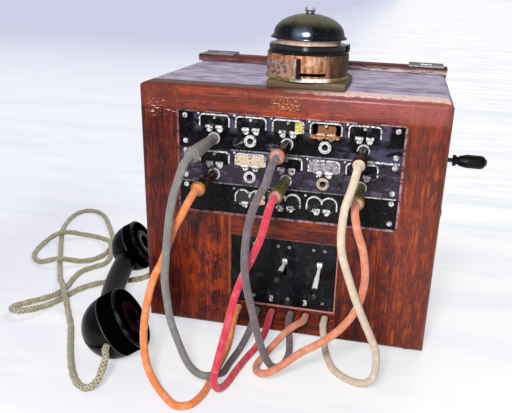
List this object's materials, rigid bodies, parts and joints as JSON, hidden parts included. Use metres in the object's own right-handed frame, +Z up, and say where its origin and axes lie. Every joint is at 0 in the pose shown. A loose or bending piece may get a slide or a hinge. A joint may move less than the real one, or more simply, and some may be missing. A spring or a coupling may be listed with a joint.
{
  "type": "telephone switchboard",
  "caption": "Portable wooden telephone switchboard with jacks, drop indicators, patch cords, lever keys, a hand-crank generator, a bell on top and a black handset",
  "frame": {"origin": "On the table under the middle of the case, at the middle of its four feet", "axes": "X right across the front seen from the operator, Y from the operator into the case, Z up"},
  "size_m": [0.6129, 0.445, 0.3528],
  "materials": {
    "mahogany": "worn varnish, red-brown with orange streaks",
    "worn_top": "worn, greyed varnish with dust",
    "steel": "plain, lightly tarnished",
    "dark_steel": "darkened with age",
    "gong_steel": "dark, smooth, slightly glossy",
    "nickel": "nickel plate, worn",
    "ebonite": "black, glossy, scuffed",
    "bakelite": "black, moulded, glossy",
    "brown_plastic": "dark brown, worn",
    "shutter_grey": "worn grey",
    "label_cream": "aged cream label",
    "plug_metal": "tarnished, grey-olive",
    "spring_brass": "plain brass",
    "drum_brass": "tarnished, mottled brown",
    "bell_plinth": "worn olive-brown paint",
    "coil_wire": "varnished cotton-covered wire",
    "cast_frame": "plain, oiled",
    "magnet_paint": "dull red-brown",
    "black_rubber": "worn",
    "cord_orange": "woven cotton, orange with pale edges",
    "cord_grey": "woven cotton, grey",
    "cord_red": "woven cotton, red",
    "cord_dark": "woven cotton, dark grey-brown",
    "cord_salmon": "woven cotton, salmon",
    "cord_cream": "woven cotton, cream",
    "cord_khaki": "woven cotton, khaki and cream"
  },
  "bodies": {
    "case": {"front_frame": "mahogany", "top_board": "worn_top", "case_carcass": "mahogany", "rear_batten": "mahogany", "hinge_case_leaves": "steel", "feet": "black_rubber", "panel_strips": "ebonite", "panel_screws": "nickel", "drop_frames": "nickel", "drop_magnets": "coil_wire", "line_jacks": "nickel", "key_plates": "ebonite", "key_springs": "spring_brass", "cord_bushes": "ebonite", "metal_plugs": "plug_metal", "brown_plugs": "brown_plastic", "patch_cord_1": "cord_orange", "patch_cord_2": "cord_grey", "patch_cord_3": "cord_red", "patch_cord_4": "cord_dark", "patch_cord_5": "cord_salmon", "patch_cord_6": "cord_cream", "generator_frame": "cast_frame", "generator_magnets": "magnet_paint", "bell_base": "bell_plinth", "bell_drum": "drum_brass", "bell_collar": "ebonite", "bell_gong": "gong_steel", "wing_nut": "dark_steel", "bell_coils": "coil_wire", "handset_body": "bakelite", "ear_cap": "bakelite", "mouth_cap": "bakelite", "handset_capsules": "nickel", "handset_cord": "cord_khaki", "terminal_block": "ebonite"},
    "door": {"rear_door": "mahogany", "hinge_door_leaves": "steel"},
    "shutter_1": {"line_shutter_1": "ebonite"},
    "shutter_2": {"line_shutter_2": "ebonite"},
    "shutter_3": {"line_shutter_3": "ebonite"},
    "shutter_4": {"line_shutter_4": "ebonite"},
    "shutter_5": {"line_shutter_5": "ebonite"},
    "shutter_6": {"line_shutter_6": "ebonite"},
    "shutter_7": {"line_shutter_7": "label_cream"},
    "shutter_8": {"line_shutter_8": "ebonite"},
    "shutter_9": {"line_shutter_9": "shutter_grey"},
    "shutter_10": {"line_shutter_10": "ebonite"},
    "clearing_1": {"clearing_shutter_1": "ebonite"},
    "clearing_2": {"clearing_shutter_2": "ebonite"},
    "clearing_3": {"clearing_shutter_3": "ebonite"},
    "lever_1": {"key_lever_1": "ebonite"},
    "lever_2": {"key_lever_2": "ebonite"},
    "lever_3": {"key_lever_3": "ebonite"},
    "crank": {"crank_arm": "dark_steel", "drive_gear": "spring_brass"},
    "grip": {"crank_grip": "ebonite"},
    "generator_armature": {"armature": "steel"},
    "clapper": {"bell_clapper": "spring_brass"},
    "cut_out": {"cut_out_lever": "brown_plastic"}
  },
  "joints": [
    {"name": "door_hinge", "type": "hinge", "parent": "case", "child": "door", "pos_m": [0, 0.1095, 0.2845], "axis": [1, 0, 0], "range_deg": [0, 110]},
    {"name": "shutter_1_hinge", "type": "hinge", "parent": "case", "child": "shutter_1", "pos_m": [-0.0762, -0.1076, 0.2355], "axis": [1, 0, 0], "range_deg": [0, 90]},
    {"name": "shutter_2_hinge", "type": "hinge", "parent": "case", "child": "shutter_2", "pos_m": [-0.0381, -0.1076, 0.2355], "axis": [1, 0, 0], "range_deg": [0, 90]},
    {"name": "shutter_3_hinge", "type": "hinge", "parent": "case", "child": "shutter_3", "pos_m": [0, -0.1076, 0.2355], "axis": [1, 0, 0], "range_deg": [0, 90]},
    {"name": "shutter_4_hinge", "type": "hinge", "parent": "case", "child": "shutter_4", "pos_m": [0.0381, -0.1076, 0.2355], "axis": [1, 0, 0], "range_deg": [-90, 0]},
    {"name": "shutter_5_hinge", "type": "hinge", "parent": "case", "child": "shutter_5", "pos_m": [0.0762, -0.1076, 0.2355], "axis": [1, 0, 0], "range_deg": [0, 90]},
    {"name": "shutter_6_hinge", "type": "hinge", "parent": "case", "child": "shutter_6", "pos_m": [-0.0762, -0.1076, 0.1972], "axis": [1, 0, 0], "range_deg": [0, 90]},
    {"name": "shutter_7_hinge", "type": "hinge", "parent": "case", "child": "shutter_7", "pos_m": [-0.0381, -0.1076, 0.1972], "axis": [1, 0, 0], "range_deg": [0, 90]},
    {"name": "shutter_8_hinge", "type": "hinge", "parent": "case", "child": "shutter_8", "pos_m": [0, -0.1076, 0.1972], "axis": [1, 0, 0], "range_deg": [0, 90]},
    {"name": "shutter_9_hinge", "type": "hinge", "parent": "case", "child": "shutter_9", "pos_m": [0.0381, -0.1076, 0.1972], "axis": [1, 0, 0], "range_deg": [0, 90]},
    {"name": "shutter_10_hinge", "type": "hinge", "parent": "case", "child": "shutter_10", "pos_m": [0.0762, -0.1076, 0.1972], "axis": [1, 0, 0], "range_deg": [0, 90]},
    {"name": "clearing_1_hinge", "type": "hinge", "parent": "case", "child": "clearing_1", "pos_m": [-0.0381, -0.1076, 0.1565], "axis": [1, 0, 0], "range_deg": [0, 90]},
    {"name": "clearing_2_hinge", "type": "hinge", "parent": "case", "child": "clearing_2", "pos_m": [0, -0.1076, 0.1565], "axis": [1, 0, 0], "range_deg": [0, 90]},
    {"name": "clearing_3_hinge", "type": "hinge", "parent": "case", "child": "clearing_3", "pos_m": [0.0381, -0.1076, 0.1565], "axis": [1, 0, 0], "range_deg": [0, 90]},
    {"name": "lever_1_pivot", "type": "hinge", "parent": "case", "child": "lever_1", "pos_m": [-0.0385, -0.093, 0.088], "axis": [1, 0, 0], "range_deg": [-20, 20]},
    {"name": "lever_2_pivot", "type": "hinge", "parent": "case", "child": "lever_2", "pos_m": [0, -0.093, 0.088], "axis": [1, 0, 0], "range_deg": [-20, 20]},
    {"name": "lever_3_pivot", "type": "hinge", "parent": "case", "child": "lever_3", "pos_m": [0.0385, -0.093, 0.088], "axis": [1, 0, 0], "range_deg": [-40, 0]},
    {"name": "crank_turn", "type": "hinge", "parent": "case", "child": "crank", "pos_m": [0.162, 0, 0.13], "axis": [1, 0, 0], "continuous": true},
    {"name": "grip_turn", "type": "hinge", "parent": "crank", "child": "grip", "pos_m": [0.187, 0, 0.1935], "axis": [1, 0, 0], "continuous": true},
    {"name": "armature_turn", "type": "hinge", "parent": "case", "child": "generator_armature", "pos_m": [0.082, 0, 0.0925], "axis": [1, 0, 0], "continuous": true},
    {"name": "clapper_pivot", "type": "hinge", "parent": "case", "child": "clapper", "pos_m": [0.008, -0.0295, 0.3075], "axis": [1, 0, 0], "range_deg": [-13, 0]},
    {"name": "cut_out_pivot", "type": "hinge", "parent": "case", "child": "cut_out", "pos_m": [0.008, -0.054, 0.2915], "axis": [0, 0, 1], "range_deg": [0, 33]}
  ],
  "couplings": [
    {"joint": "armature_turn", "follows": "crank_turn", "ratio": -4}
  ]
}
